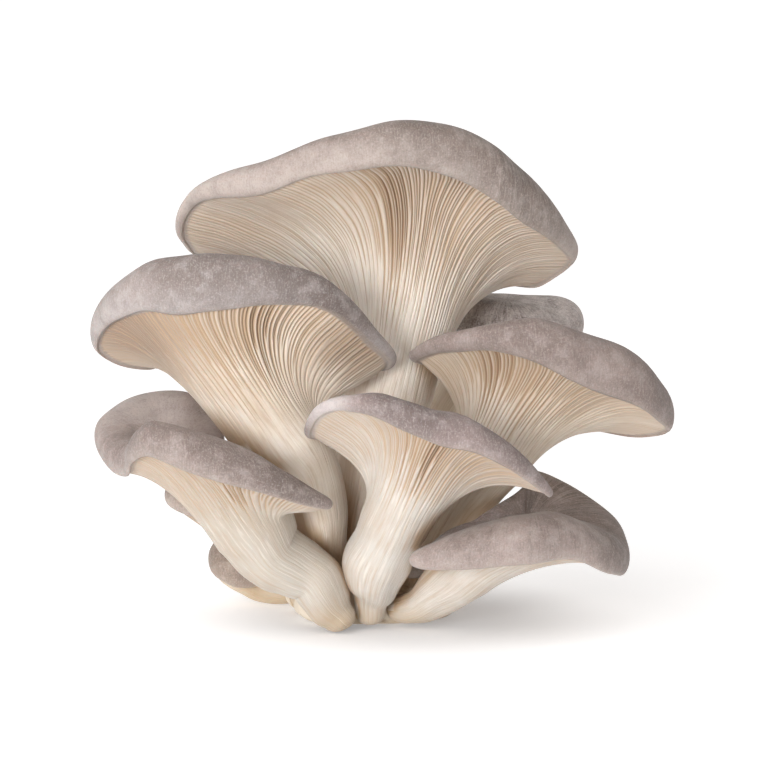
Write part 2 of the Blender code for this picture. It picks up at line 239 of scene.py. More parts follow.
def mushroomFinish(name, look):
    r = Recipe(name)
    place = r.node("ShaderNodeTexCoord", out=3)
    sheet = r.node("ShaderNodeSeparateXYZ", sockets={0: r.node("ShaderNodeTexCoord", out=2)})
    turn = sheet * (2 * math.pi)
    cos = r.node("ShaderNodeMath", {"operation": "COSINE"}, {0: turn})
    sin = r.node("ShaderNodeMath", {"operation": "SINE"}, {0: turn})
    along = r.attribute("run")
    skin = r.attribute("skin")
    groove = r.attribute("groove")
    underRim = r.attribute("underRim")
    onStem = 1 - underRim

    def fibres(kind):
        # the streaks run along the mushroom and close round it
        fine, long, detail, rough = grains[kind]
        fine = look["fibres"] * fine
        spot = r.node("ShaderNodeCombineXYZ", sockets={0: cos * fine, 1: sin * fine, 2: along * long})
        return r.noise(spot, 1.0, detail, rough)

    def near(x, y, z, wide, share):
        return r.within(r.distance(place, (x * mm, y * mm, z * mm)), wide * mm, 0.2 * wide * mm, share)

    def spots(kind):
        return [near(*spot) for spot in look.get(kind, ())]

    # cap skin: a dark middle, a pale band at the margin, short radial fibrils and a velvety grain
    mottle, patches, grain = (r.noise(place, *grains[kind]) for kind in ("mottle", "patches", "grain"))
    fibrils = fibres("fibrils")
    streak, band = look["streak"], look["band"]
    cap = r.mix(r.within(mottle, 0.32, 0.68), look["dark"], look["light"])
    cap = r.mix(r.within(fibres("longStreaks"), 0.55, 0.8) * look["darkStreak"], cap, look["shade"])
    fromRim = r.attribute("fromRim") + mottle * 6 + patches * 3 - 4.5
    cap = r.mix(r.within(fromRim, band * 1.3, band * 0.1) * look["bandShare"], cap, look["bandTone"])
    # painted shade: darker spots on the caps where less light falls, on their right sides and where
    # neighbours shadow them
    for spot in spots("paintedShadeSpots"):
        cap = r.mix(spot, cap, look["shade"])
    brush = fibres("brush")
    for spot in spots("brushed"):
        cap = r.mix(spot * r.within(brush, 0.47, 0.6), cap, look["shade"])
        cap = r.mix(spot * r.within(brush, 0.44, 0.36) * 0.5, cap, look["pale"])
    # painted light: paler spots where the caps are lit from the upper left
    for spot in spots("paintedLightSpots"):
        cap = r.mix(spot, cap, look["pale"])
    for pattern, none, full, share, tone in (
        (patches, 0.48, 0.68, 1.1, "pale"),
        (patches, 0.52, 0.32, 0.9, "shade"),
        (fibrils, 0.5, 0.7, 1.2, "pale"),
        (fibrils, 0.48, 0.32, 0.7, "shade"),
        (grain, 0.5, 0.7, 1.5, "pale"),
        (grain, 0.48, 0.3, 1.0, "shade"),
    ):
        cap = r.mix(r.within(pattern, none, full) * streak * share, cap, look[tone])

    # gills and stem: each mask lays one more tone of the flesh over those before it; some of them are
    # painted shade or painted light, as marked
    cloud = r.noise(place, *grains["cloud"])
    threads, strands = fibres("threads"), fibres("strands")
    body = r.mix(r.within(cloud, 0.35, 0.7), flesh["cream"], flesh["white"])
    body = r.mix(1.0, body, look["body"], "MULTIPLY")
    rootward = r.within(r.attribute("height") + cloud * 8 - 4, 11.0, 1.0)
    for mask, tone in (
        # painted shade: the gills darken towards the rim, where the cap overhangs and shades them
        (underRim * look["under"], "under"),
        # painted shade: darker spots on the gills where the caps above shade them
        *((spot, "dim") for spot in spots("paintedUnderShade")),
        # painted light: brighter spots on the throats, as if more light reached them
        *((spot, "bright") for spot in spots("paintedThroatLight")),
        (r.within(fibres("flush"), 0.5, 0.8) * 0.3, "tan"),
        (r.within(threads, 0.5, 0.75) * 0.22, "tan"),
        (r.within(strands, 0.5, 0.68) * onStem * 0.42, "tan"),
        (r.within(strands, 0.46, 0.34) * onStem * 0.35, "white"),
        # painted shade in the gaps between the gills, darkest where they stand open, with faint lines
        # down the stem
        (r.within(groove, 0.2, 0.5) * 0.8, "tan"),
        (r.within(groove, 0.6, 1.3) * 0.6, "deepTan"),
        # painted shade: darker and warmer deep between neighbouring mushrooms, from a traced occlusion
        (r.within(r.attribute("creviceShade") + cloud * 0.2, 0.36, 0.75) * 0.8, "creviceShade"),
        (rootward * look["rooty"], "rootTan"),
    ):
        body = r.mix(mask, body, flesh[tone])

    capRelief = fibrils * 0.5 + grain * 0.5 + patches * 0.3
    bodyRelief = threads * 0.9 + cloud * 0.4 + strands * onStem * 1.8
    relief = capRelief * skin + bodyRelief * (1 - skin)
    bump = {"Strength": 0.6, "Distance": 0.00022, "Height": relief}
    r.feed(
        Base_Color=r.mix(skin, body, cap),
        Roughness=0.8 - mottle * 0.15,
        Normal=r.node("ShaderNodeBump", sockets=bump),
        Specular_IOR_Level=0.3,
        Subsurface_Weight=0.1,
        Subsurface_Scale=0.0022,
        Sheen_Weight=0.15,
        Sheen_Roughness=0.5,
    )
    return r.material


floorLook = {
    "color": (0.78, 0.78, 0.79),
    "pale": (0.80, 0.80, 0.80),
    "clouds": 3,
    "nearGlow": (0.19, 0.2, 0.215),  # the light box under the floor, dimmer under the cluster, which paints a shadow round it, and brighter away from it
    "farGlow": (0.52, 0.525, 0.535),
    "middle": (0.01, 0, 0),
    "near": 0.022,
    "far": 0.066,
    "half": 14.0,
}


def addFloor():
    bpy.ops.object.select_all(action="DESELECT")
    bpy.ops.mesh.primitive_plane_add(size=2 * floorLook["half"], location=(0, 0, 0))
    floor = bpy.context.object
    floor.name = "floor"
    r = Recipe("paleFloor")
    place = r.node("ShaderNodeTexCoord", out=3)
    tone = r.mix(r.noise(place, floorLook["clouds"]), floorLook["color"], floorLook["pale"])
    # painted shadow: the floor glows less near the cluster
    away = r.within(r.distance(place, floorLook["middle"]), floorLook["near"], floorLook["far"])
    glow = r.mix(away, floorLook["nearGlow"], floorLook["farGlow"])
    r.feed(Base_Color=tone, Roughness=0.9, Specular_IOR_Level=0.1)
    r.feed(Emission_Color=glow, Emission_Strength=1.0)
    floor.data.materials.append(r.material)


addFloor()
print("floor laid")


def unit(vectors):
    return vectors / np.maximum(np.linalg.norm(vectors, axis=-1, keepdims=True), 1e-9)


def softNoise(points, size, seed, waves=14):
    # a smooth field near -1 to 1 whose bumps are about size millimetres across
    rng = np.random.default_rng(seed)
    field = np.zeros(points.shape[:-1])
    for wave in range(waves):
        way = unit(rng.normal(size=3)) * 2 * math.pi / (size * 2 * rng.uniform(0.7, 1.6))
        field += np.sin(points @ way + rng.uniform(0, 2 * math.pi))
    return field / math.sqrt(waves)


def smoothStep(value, low, high):
    t = np.clip((value - low) / (high - low), 0, 1)
    return t * t * (3 - 2 * t)


def bell(away, wide):
    return np.exp(-((away / wide) ** 2))


def runAlong(curves):
    # the length of each curve up to each of its points; the points follow each other down the first axis
    steps = np.linalg.norm(np.diff(curves, axis=0), axis=-1)
    return np.concatenate([np.zeros((1, *steps.shape[1:])), np.cumsum(steps, axis=0)])


def splineAt(points, places, closed=False):
    # a smooth curve through the points, read at places from 0 to 1 along it
    points = np.asarray(points, float)
    if closed:
        points = np.vstack([points[-2:], points, points[:3]])
    else:
        points = np.vstack([2 * points[0] - points[1], points, 2 * points[-1] - points[-2]])
    knots = runAlong(points[:, :3])
    first, last = (2, len(points) - 3) if closed else (1, len(points) - 2)
    at = knots[first] + np.asarray(places, float) * (knots[last] - knots[first])
    slope = (points[2:] - points[:-2]) / (knots[2:] - knots[:-2])[:, None]
    i = np.clip(np.searchsorted(knots, at, side="right") - 1, first, last - 1)
    span = (knots[i + 1] - knots[i])[:, None]
    t = ((at - knots[i]) / span[:, 0])[:, None]
    return (
        (2 * t**3 - 3 * t**2 + 1) * points[i]
        + (t**3 - 2 * t**2 + t) * span * slope[i - 1]
        + (3 * t**2 - 2 * t**3) * points[i + 1]
        + (t**3 - t**2) * span * slope[i]
    )


def bezierAt(handles, t):
    n = len(handles) - 1
    return sum(math.comb(n, k) * (1 - t) ** (n - k) * t**k * handle for k, handle in enumerate(handles))


def stemFrames(stem, rows):
    # the stem's centres and radii, with the ways along, to the side of and across it
    places = np.linspace(0, 1, rows)
    line = splineAt(stem, places)
    ahead = splineAt(stem, np.minimum(places + 0.01, 1))[:, :3]
    behind = splineAt(stem, np.maximum(places - 0.01, 0))[:, :3]
    along = unit(ahead - behind)
    side = np.zeros_like(along)
    side[-1] = unit(np.cross(np.cross(along[-1], (1, 0, 0)), along[-1]))
    for i in range(rows - 2, -1, -1):
        side[i] = unit(side[i + 1] - along[i] * (side[i + 1] @ along[i]))
    return line[:, :3], line[:, 3], along, side, np.cross(along, side)


# how every mushroom is lofted; lengths are in millimetres
growth = {
    "perGill": 3,  # columns: the gap before a gill, and the two sides of its edge
    "gapWander": 0.2,  # of a gill's spacing
    "shutPlaces": (0, 0.3, 0.7),  # where a gill's columns stand where the gaps are narrow
    "openPlaces": (0, 0.39, 0.61),  # and where they stand open
    "rimSteps": 1440,
    "curveSteps": 240,
    "tipRows": 6,
    "rootRound": 0.8,
    "follow": 0.6,  # how much the stem's columns follow the rim's bearing, and not even steps
    "leastRise": 0.3,
    "crowdRim": 1.7,  # over 1, the rings of the trumpet stand closer near the rim
    "crowdSkin": 1.35,
    "lipRise": (1.15, 1.3),
    "skinReach": (0.4, 0.3),
    "rimWave": 0.3,  # how far the margin wanders
    "rimWaveSizes": (7, 9),
}


def gapeAt(shape, points):
    # 0 to 1, how wide the gaps between the gills stand open near each point
    gape = np.zeros(len(points))
    for x, y, wide, share in shape.get("openAt", ()):
        away = np.hypot(points[:, 0] - x, points[:, 1] - y)
        gape = np.maximum(gape, share * bell(away, wide))
    return gape


def columnPlaces(shape, rng):
    # where each column stands round the rim; the first of every gill is the gap before it
    gills, wide = shape["gills"], growth["gapWander"]
    wander = rng.uniform(-wide, wide, gills)
    shut, opened = np.array(growth["shutPlaces"]), np.array(growth["openPlaces"])
    gape = gapeAt(shape, splineAt(shape["rim"], np.arange(gills) / gills, closed=True))
    gill = np.repeat(np.arange(gills), growth["perGill"])
    part = (shut + (opened - shut) * gape[:, None]).ravel()
    shift = wander[gill] * (1 - part) + wander[(gill + 1) % gills] * part
    return (gill + part + shift) / gills


def mushroomRings(shape, rng):
    # rings from the root to the crown; stage is -1 to 0 up the stem, 1 at the rim and 2 at the crown
    places = columnPlaces(shape, rng)
    fine = splineAt(shape["rim"], np.linspace(0, 1, growth["rimSteps"] + 1), closed=True)
    length = runAlong(fine[:, :3])
    steps = (places % 1.0) * length[-1]
    rim = np.stack([np.interp(steps, length, fine[:, k]) for k in range(4)], axis=1)
    rim, lip = rim[:, :3], rim[:, 3:]
    crown = np.array(shape["crown"], float)
    up = np.array((0, 0, 1.0))
    out = rim - crown
    out = unit(out - (out @ up)[:, None] * up)
    for extra, (way, size) in enumerate(zip((out, up), growth["rimWaveSizes"])):
        rim = rim + way * softNoise(rim, size, shape["seed"] + extra)[:, None] * growth["rimWave"]

    rows = shape["stemRows"]
    centres, radii, along, side, across = stemFrames(shape["stem"], rows)
    toRim = rim - centres[-1]
    bearing = np.unwrap(np.arctan2(toRim @ across[-1], toRim @ side[-1]))
    even = places * 2 * math.pi
    even = even + np.mean(bearing - even)
    angle = growth["follow"] * bearing + (1 - growth["follow"]) * even
    cos, sin = np.cos(angle)[:, None], np.sin(angle)[:, None]

    rings, stage = [], []
    tips = growth["tipRows"]
    for row in range(tips + 1):
        a = row / (tips + 1) * math.pi / 2
        middle = centres[0] - along[0] * radii[0] * growth["rootRound"] * math.cos(a)
        rings.append(middle + radii[0] * math.sin(a) * (cos * side[0] + sin * across[0]))
        stage.append(-1.0)
    for i in range(rows):
        rings.append(centres[i] + radii[i] * (cos * side[i] + sin * across[i]))
        stage.append(i / (rows - 1) - 1)

    # the trumpet of gills, with closer rings towards the rim
    start, axis = rings[-1], along[-1]
    reach = rim - start
    rise = (reach @ axis)[:, None]
    sideways = reach - rise * axis
    rise = np.maximum(rise, growth["leastRise"] * np.linalg.norm(sideways, axis=1, keepdims=True))
    handles = [start, start + axis * rise * shape["neck"], rim - sideways * shape["flare"], rim]
    curve = np.array([bezierAt(handles, t) for t in np.linspace(0, 1, growth["curveSteps"] + 1)])
    run = runAlong(curve)
    wanted = 1 - (1 - np.linspace(0, 1, shape["gillRows"] + 1)[1:]) ** growth["crowdRim"]
    trumpet = np.zeros((len(wanted), len(rim), 3))
    for c in range(len(rim)):
        for k in range(3):
            trumpet[:, c, k] = np.interp(wanted * run[-1, c], run[:, c], curve[:, c, k])
    rings += list(trumpet)
    stage += list(wanted)

    # the skin, over the swell of the margin and in to the crown
    inward = crown - rim
    inward = inward - (inward @ up)[:, None] * up
    (firstRise, nextRise), (skinOut, skinIn) = growth["lipRise"], growth["skinReach"]
    handles = [
        rim,
        rim + up * lip * firstRise - unit(inward) * shape["bulge"],
        rim + up * lip * nextRise + inward * skinOut,
        crown - inward * skinIn,
        np.broadcast_to(crown, rim.shape),
    ]
    for t in (np.arange(1, shape["topRows"] + 1) / shape["topRows"]) ** growth["crowdSkin"]:
        rings.append(bezierAt(handles, t))
        stage.append(1 + t)
    return np.array(rings), np.array(stage)


# the gaps between the gills; a pair is the least and the most of a random draw
gillRun = {
    "levels": (0, 3, 2, 3, 1, 3, 2, 3),  # of eight gaps in turn, the first runs right down the stem
    "begins": ((-0.25, 0.2), (0.08, 0.42), (0.3, 0.72)),  # levels 1 to 3; 0 is the throat, 1 the rim
    "fadeIn": 0.14,
    "opens": (0.12, 0.75),  # between these a gap opens as wide as it gapes at the rim
    "throatDepth": 0.1,
    "fullDepthAt": 0.85,
    "depths": (0.65, 1.1),
    "depthShut": 0.62,
    "depthGape": 1.1,
    # the tones set the painted shade in the gaps: more towards the rim and where the gaps gape
    "toneShut": 0.26,
    "toneRim": 0.3,
    "toneFrom": (0.05, 0.7),
    "toneGape": 1.05,
    "tones": (0.75, 1.2),
    "stemFades": ((4, 11), (0, 6.3), (0.2, 0.5)),  # waves, phase and depth of how the painted gap shade wavers down a stem
    "stemFadeTo": 0.1,
    "halfWide": 0.34,  # mm, and then how much of it where the gap is shut, and more where it gapes
    "wideGape": (0.8, 0.25),
    "wideRim": (0.75, 0.35),  # and how much of it at the throat, and more at the rim
    "room": (0.55, 0.42, 0.33, 0.27),  # the most of a gill's spacing that each level may take
    "leastWide": 0.001,  # mm, so that a gap keeps a width at the poles
    "wides": (0.8, 1.2),
    "marginGape": 2.2,  # the margin without gills narrows where the gaps stand open
    "marginFrom": (0.15, 0.45),  # mm at its narrowest, and how much more where it is wide
    "marginTo": (0.6, 1.2),
}


def sinkGills(grid, stage, shape, rng):
    # how far each point lies below the gills' edges, the painted shade in its gap, its way from the rim,
    # its share of margin
    perGill, gills = growth["perGill"], shape["gills"]
    columns = grid.shape[1]
    step = np.linalg.norm(np.roll(grid, -1, axis=1) - grid, axis=2)
    rimRow = int(np.argmax(stage >= 1))
    rimPoints = grid[rimRow]
    s = np.clip(stage, -1, 1)
    fromRim = np.zeros(grid.shape[:2])
    lengths = np.linalg.norm(np.diff(grid, axis=0), axis=2)
    for row in range(rimRow - 1, -1, -1):
        fromRim[row] = fromRim[row + 1] + lengths[row]
    sink = np.zeros(grid.shape[:2])
    gapShade = np.zeros(grid.shape[:2])
    window = 4 * perGill
    gapes = gapeAt(shape, rimPoints[::perGill])
    for g in range(gills):
        first = g * perGill
        level = gillRun["levels"][g % 8]
        begin = (-1, *[rng.uniform(*ends) for ends in gillRun["begins"]])[level]
        gape = gapes[g] * smoothStep(s, *gillRun["opens"])
        shallow = gillRun["throatDepth"]
        depth = shallow + (1 - shallow) * smoothStep(s, 0, gillRun["fullDepthAt"])
        depth = depth * shape["groove"] * rng.uniform(*gillRun["depths"])
        depth = depth * (gillRun["depthShut"] + gape * gillRun["depthGape"])
        tone = gillRun["toneShut"] + gillRun["toneRim"] * smoothStep(s, *gillRun["toneFrom"])
        tone = (tone + gape * gillRun["toneGape"]) * rng.uniform(*gillRun["tones"])
        waves, phase, fade = [rng.uniform(*ends) for ends in gillRun["stemFades"]]
        tone = tone * (1 + np.where(s < gillRun["stemFadeTo"], np.sin(s * waves + phase) * fade, 0))
        start = smoothStep(s, begin, begin + gillRun["fadeIn"]) if level else np.ones(len(s))
        (shutWide, gapeWide), (throatWide, rimWide) = gillRun["wideGape"], gillRun["wideRim"]
        wide = gillRun["halfWide"] * (shutWide + gape * gapeWide)
        wide = wide * (throatWide + rimWide * np.clip(s, 0, 1))
        room = step[:, first : first + perGill].sum(axis=1) * gillRun["room"][level]
        wide = np.maximum(np.minimum(wide, room), gillRun["leastWide"]) * rng.uniform(*gillRun["wides"])
        near = (first + np.arange(-window, window + 1)) % columns
        run = np.cumsum(step[:, near], axis=1) - step[:, near]
        valley = start[:, None] * bell(np.abs(run - run[:, window : window + 1]), wide[:, None])
        sink[:, near] = np.maximum(sink[:, near], depth[:, None] * valley)
        gapShade[:, near] = np.maximum(gapShade[:, near], tone[:, None] * valley)
    closed = 1 - np.clip(gillRun["marginGape"] * gapeAt(shape, rimPoints), 0, 1)
    (narrowFrom, widerFrom), (narrowTo, widerTo) = gillRun["marginFrom"], gillRun["marginTo"]
    gilled = smoothStep(fromRim, narrowFrom + widerFrom * closed, narrowTo + widerTo * closed)
    return sink * gilled, gapShade * gilled, fromRim, 1 - gilled


# rays that find how shut in the cluster each point is, for painted shade between neighbours
shelter = {"rays": 22, "reach": 28, "lift": 1.3, "everyRow": 3, "everyColumn": 4, "seed": 5}


def crowdTree():
    # all the solids of the cluster in one tree, in millimetres
    corners, faces = [], []
    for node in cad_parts:
        solid = bpy.data.objects[node]
        start = len(corners)
        corners += [solid.matrix_world @ v.co / mm for v in solid.data.vertices]
        faces += [[start + i for i in p.vertices] for p in solid.data.polygons]
    return BVHTree.FromPolygons(corners, faces)


crowd = crowdTree()


def creviceShadeShare(grid, outwards):
    # how shut in each point is, 0 in the open to 1 deep between neighbours, for the painted shade there;
    # found on every few points and spread between them
    rays, reach = shelter["rays"], shelter["reach"]
    turn = np.random.default_rng(shelter["seed"]).uniform(0, 2 * math.pi, rays)
    high = np.sqrt((np.arange(rays) + 0.5) / rays)
    flat = np.sqrt(1 - high**2)
    fan = np.stack([flat * np.cos(turn), flat * np.sin(turn), high], axis=1)
    rows = np.unique(np.r_[np.arange(0, len(grid), shelter["everyRow"]), len(grid) - 1])
    columns = np.arange(0, grid.shape[1], shelter["everyColumn"])
    found = np.zeros((len(rows), len(columns)))
    for i, row in enumerate(rows):
        for j, column in enumerate(columns):
            ahead = Vector(outwards[row, column])
            turned = np.array(ahead.to_track_quat("Z", "Y").to_matrix())
            start = Vector(grid[row, column]) + ahead * shelter["lift"]
            for ray in fan @ turned.T:
                _, normal, _, distance = crowd.ray_cast(start, Vector(ray), reach)
                # a face seen from behind belongs to the solid that the ray starts in
                if distance is not None and normal.dot(Vector(ray)) < 0:
                    found[i, j] += (1 - distance / reach) / rays
    places = np.arange(grid.shape[1])
    full = np.array([np.interp(places, columns, line, period=grid.shape[1]) for line in found])
    return np.array([np.interp(np.arange(len(grid)), rows, full[:, c]) for c in places]).T


# what moves the lofted surface; heights and widths in millimetres
swells = {
    "cap": (0.6, 20),  # low swells, as their height and width
    "capFrom": (1, 12),  # from the rim, where they begin and are full
    "stem": (0.45, 5),
    "stemFrom": (-0.25, 0.6),
    "gillWaver": (0.35, 8),  # how far the gills wander sideways
    "stemWaver": (0.5, 9),
    "waverFrom": 6,
    "ledge": (0.55, 0.22, 2.6),  # how far the gills stand back behind the margin, its rise and its fall
    "lip": (0.8, 0.8, 5),  # how far the skin swells just above the rim, its rise and its fall
    "marginSkin": 0.65,  # how much the rolled margin looks like cap skin
}


def bulgeNear(away, bulge):
    height, rise, fall = bulge
    return (1 - np.exp(-away / rise)) * bell(away, fall) * height


def growMushroom(name, shape):
    rng = np.random.default_rng(shape["seed"])
    smooth, stage = mushroomRings(shape, rng)
    roundStep = np.roll(smooth, -1, axis=1) - np.roll(smooth, 1, axis=1)
    outwards = unit(np.cross(roundStep, np.gradient(smooth, axis=0)))
    sink, gapShade, fromRim, margin = sinkGills(smooth, stage, shape, rng)
    gillSide = (stage <= 1)[:, None]
    lengths = np.linalg.norm(np.diff(smooth, axis=0, prepend=smooth[:1]), axis=2)
    onCap = np.cumsum(np.where(gillSide, 0, lengths), axis=0)
    stemShare = smoothStep(-stage, *swells["stemFrom"])[:, None]

    def sway(kind, squeeze, extra):
        height, wide = swells[kind]
        return softNoise(smooth * squeeze, wide, shape["seed"] + extra) * height

    move = smoothStep(onCap, *swells["capFrom"]) * sway("cap", 1, 2) - sink
    move += stemShare * sway("stem", (1, 1, 0.45), 3)
    move += np.where(gillSide, -bulgeNear(fromRim, swells["ledge"]), bulgeNear(onCap, swells["lip"]))
    waver = sway("gillWaver", (1, 1, 0.6), 4) * smoothStep(fromRim, 0, swells["waverFrom"])
    waver += sway("stemWaver", (1, 1, 0.8), 5) * stemShare
    grid = smooth + unit(roundStep) * np.where(gillSide, waver, 0)[..., None]
    grid = grid + outwards * move[..., None]
    grid[:, :, 2] = np.maximum(grid[:, :, 2], 0)
    grid[0] = grid[0].mean(axis=0)
    grid[-1] = smooth[-1]

    rolled = swells["marginSkin"]
    piece = rollSheet(name, grid)
    values = {
        "skin": np.where(gillSide, rolled * margin, smoothStep(onCap, 0.0, 1.0) * (1 - rolled) + rolled),
        "fromRim": onCap,
        "groove": gapShade,
        "run": runAlong(smooth),
        "creviceShade": creviceShadeShare(smooth, outwards),
        "height": grid[:, :, 2],
        "underRim": smoothStep(stage, 0.15, 1.0)[:, None],
    }
    closeSheet(piece, values)
    piece.data.materials.append(mushroomFinish(name + "Skin", shape["look"]))
    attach(piece, "root")
    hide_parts(name)
    print(name, "grown with", sum(len(p.vertices) - 2 for p in piece.data.polygons), "triangles")


def rollSheet(name, grid):
    # a flat grid, rolled up so that its last column lies on its first
    rows, columns = grid.shape[:2]
    bpy.ops.object.select_all(action="DESELECT")
    bpy.ops.mesh.primitive_grid_add(x_subdivisions=columns, y_subdivisions=rows - 1, size=1)
    piece = bpy.context.object
    piece.name = piece.data.name = name + ".grown"
    piece.data.vertices.foreach_set("co", np.concatenate([grid, grid[:, :1]], axis=1).ravel() * mm)
    return piece


def closeSheet(piece, values):
    # carries the values over, then merges the seam and both ends
    for name, value in values.items():
        layer = piece.data.attributes.new(name, "FLOAT", "POINT")
        value = np.asarray(value, float) + np.zeros(values["height"].shape)
        layer.data.foreach_set("value", np.concatenate([value, value[:, :1]], axis=1).ravel())
    bpy.ops.object.mode_set(mode="EDIT")
    bpy.ops.mesh.select_all(action="SELECT")
    bpy.ops.mesh.remove_doubles(threshold=1e-6)
    bpy.ops.mesh.normals_make_consistent(inside=False)
    bpy.ops.object.mode_set(mode="OBJECT")
    bpy.ops.object.shade_smooth()


# the mushrooms, in millimetres
# groove is how deep the gaps between the gills are; neck and flare, how the trumpet leaves the stem and
# meets the rim; bulge, how far the skin stands out past the rim
# stem: centre line (x, y, z, radius) from the root to the throat
# rim: (x, y, z, lip) round the cap from its right side, by the back; crown: the middle of the top
# openAt: (x, y, width, share) where the gaps between the gills stand open
# in the looks, band is the width of the pale margin, under how much painted shade darkens the gills
# towards the rim, and rooty how tan the root is; dusk lays painted shade on the cap, bloom painted
# light, brushed streaks it, paintedUnderShade lay painted shade on the gills and paintedThroatLight
# painted light, each at (x, y, z, width, share)
topMushroom = {
    "gills": 232,
    "stemRows": 36,
    "gillRows": 60,
    "topRows": 36,
    "seed": 11,
    "groove": 1.15,
    "neck": 0.75,
    "flare": 0.5,
    "bulge": 9,
    "stem": [(-3, 10.5, 10.5, 6.4), (-4, 12, 23, 8.4), (-0.5, 13.3, 41, 10.6), (4.2, 14.5, 63, 13.3)],
    "rim": [
        (55.5, 13, 100, 10.5), (52.5, 23, 94, 13), (45, 33, 90, 16), (25, 48, 93, 19.5),
        (0, 54, 98, 19.5), (-25, 46, 98, 17.5), (-44, 30, 97, 13.5), (-52, 8, 105.5, 7),
        (-48.3, -6, 117, 7.2), (-31, -18, 120.5, 12), (-14, -22, 126, 14.5), (8, -22, 128.5, 16.6),
        (27, -16, 122.5, 19), (44, -4, 110, 19.5),
    ],
    "crown": (4, 18, 114),
    "openAt": [(1, -23, 9, 1.0), (14, -20, 26, 0.42)],
    "look": {
        "dark": (0.215, 0.172, 0.155),
        "light": (0.34, 0.28, 0.255),
        "pale": (0.5, 0.44, 0.41),
        "shade": (0.13, 0.1, 0.085),
        "streak": 0.27,
        "darkStreak": 0.35,
        "fibres": 42,
        "band": 9,
        "bandShare": 0.75,
        "bandTone": (0.49, 0.42, 0.385),
        "paintedShadeSpots": [(50, -8, 122, 34, 0.62), (18, -12, 138, 34, 0.4)],
        "paintedLightSpots": [(-48, -6, 124, 22, 0.3)],
        "brushed": [(44, -8, 130, 26, 0.6)],
        "paintedThroatLight": [(8, 0, 80, 24, 0.75), (-14, 2, 92, 26, 0.8), (4, 2, 62, 20, 0.6)],
        "body": (1.0, 1.0, 1.0),
        "under": 0.55,
        "rooty": 0.3,
    },
}
growMushroom("mushroom_top", topMushroom)

upperLeft = {
    "gills": 176,
    "stemRows": 36,
    "gillRows": 56,
    "topRows": 34,
    "seed": 22,
    "groove": 1.05,
    "neck": 0.75,
    "flare": 0.5,
    "bulge": 8,
    "stem": [
        (-13, 0.5, 9.5, 5.4), (-13.5, -1, 17, 6.8), (-14.5, -3, 24, 7.6), (-15.5, -4.5, 34, 8.2),
        (-17.5, -6, 42, 9.4), (-23.5, -8, 51, 12.6),
    ],
    "rim": [
        (4.3, -12, 74.6, 4.6), (3.6, -6, 71, 4.4), (-2.5, -2, 70.6, 6), (-12, 2, 75, 9.2),
        (-28, 12, 80, 11.6), (-50, 16, 78, 11.6), (-62, 8, 69, 12.6), (-75.5, -6, 76, 11.6),
        (-71.5, -18, 84.7, 12.6), (-62, -28, 89.8, 16), (-50, -34, 89.8, 19.3),
        (-36.5, -35, 91.5, 17.6), (-23, -32, 92.4, 13.4), (-10, -26, 89, 10.6),
        (-0.8, -18.5, 80.4, 8.2),
    ],
    "crown": (-40, -8, 87),
    "openAt": [(-27, -33, 9, 0.95), (-34, -35, 24, 0.42)],
    "look": {
        "dark": (0.24, 0.2, 0.185),
        "light": (0.34, 0.29, 0.275),
        "pale": (0.49, 0.45, 0.44),
        "shade": (0.14, 0.11, 0.1),
        "streak": 0.27,
        "darkStreak": 0.25,
        "fibres": 36,
        "band": 8,
        "bandShare": 0.8,
        "bandTone": (0.41, 0.37, 0.36),
        "paintedShadeSpots": [(-10, -26, 98, 30, 0.85), (-42, -28, 104, 32, 0.5), (-8, -24, 92, 16, 0.6)],
        "paintedUnderShade": [(-66, -22, 83, 30, 0.95), (-5, -20, 79, 16, 0.7)],
        "body": (1.0, 0.985, 0.96),
        "under": 0.6,
        "rooty": 0.3,
    },
}
growMushroom("mushroom_upper_left", upperLeft)

middleRight = {
    "gills": 176,
    "stemRows": 30,
    "gillRows": 52,
    "topRows": 30,
    "seed": 33,
    "groove": 1.0,
    "neck": 0.5,
    "flare": 0.5,
    "bulge": 8,
    "stem": [(14, 9, 9.5, 5.4), (18, 6, 20, 6.6), (25, 2, 33, 8), (32, 0, 45, 11)],
    "rim": [
        (82, 2, 52.5, 13), (75.5, 16, 49, 13.2), (60.5, 28, 50, 10.2), (40, 28, 58, 11.2),
        (26.5, 13, 68, 6), (12, -6, 73.5, 4.2), (19, -16, 77, 7.2), (32.5, -24, 79, 9.2),
        (46.5, -26, 75, 15.2), (60.5, -22, 67.5, 17.6), (76.5, -12, 60, 17.6),
    ],
    "crown": (44, 2, 69),
    "openAt": [(32, -24, 7, 0.9), (42, -26, 20, 0.42)],
    "look": {
        "dark": (0.2, 0.155, 0.14),
        "light": (0.3, 0.24, 0.22),
        "pale": (0.46, 0.4, 0.38),
        "shade": (0.12, 0.09, 0.08),
        "streak": 0.27,
        "darkStreak": 0.3,
        "fibres": 30,
        "band": 4,
        "bandShare": 0.35,
        "bandTone": (0.42, 0.35, 0.32),
        "paintedShadeSpots": [(75, 0, 68, 28, 0.5)],
        "paintedThroatLight": [(34, -10, 58, 14, 0.4)],
        "paintedUnderShade": [(60, -22, 62, 16, 0.3)],
        "body": (0.97, 0.94, 0.89),
        "under": 0.5,
        "rooty": 0.3,
    },
}
growMushroom("mushroom_middle_right", middleRight)

